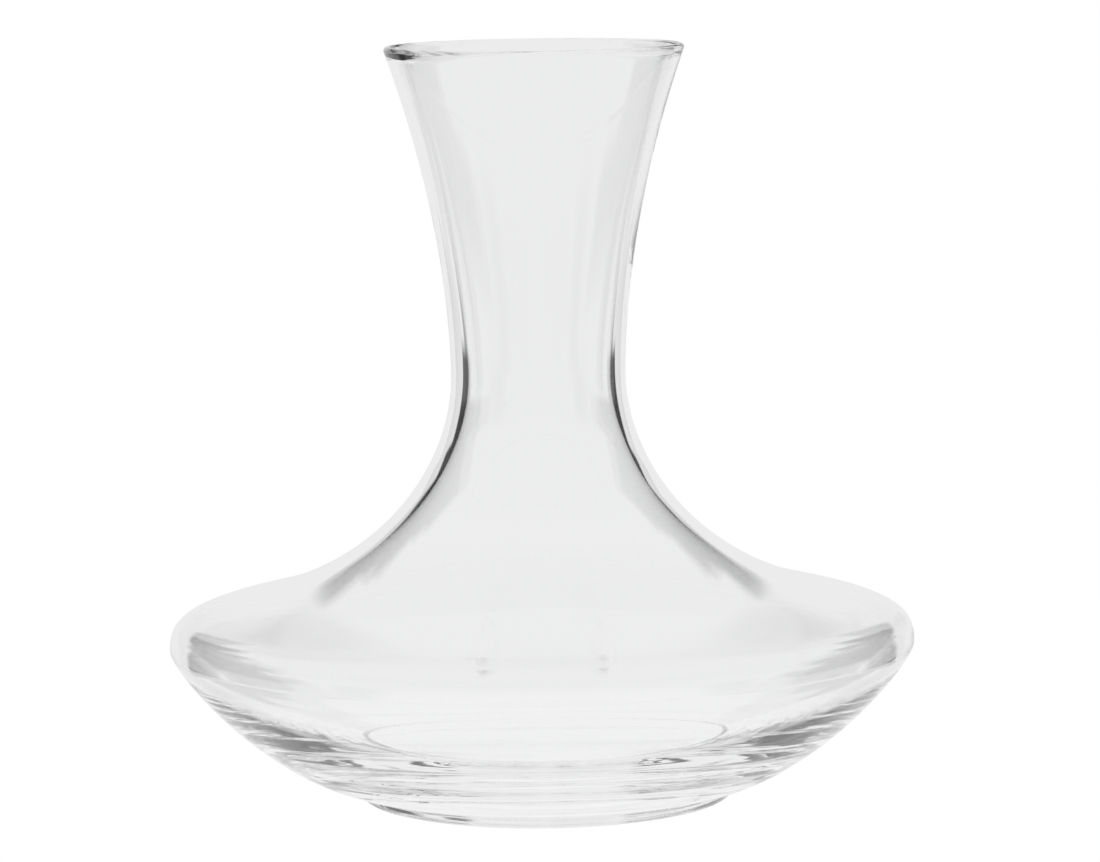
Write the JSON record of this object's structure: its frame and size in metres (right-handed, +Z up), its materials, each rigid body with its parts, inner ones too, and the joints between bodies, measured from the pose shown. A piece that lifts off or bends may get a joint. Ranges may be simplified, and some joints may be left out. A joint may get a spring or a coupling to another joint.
{
  "type": "wine decanter",
  "caption": "Free-standing blown crystal wine decanter: broad flat bowl on a low solid foot, sloping shoulder and a flared open neck.",
  "frame": {"origin": "centre of the foot's standing plane, on the axis of the glass", "axes": "+Z up along the axis of the glass, from the foot to the mouth; +X and +Y are level and alike, because the glass is round"},
  "size_m": [0.209, 0.209, 0.211],
  "materials": {
    "crystal": "clear polished crystal"
  },
  "bodies": {
    "root": {"foot": "crystal", "base": "crystal", "bowl": "crystal", "belly": "crystal", "shoulder": "crystal", "neck": "crystal", "rim": "crystal"}
  },
  "joints": []
}
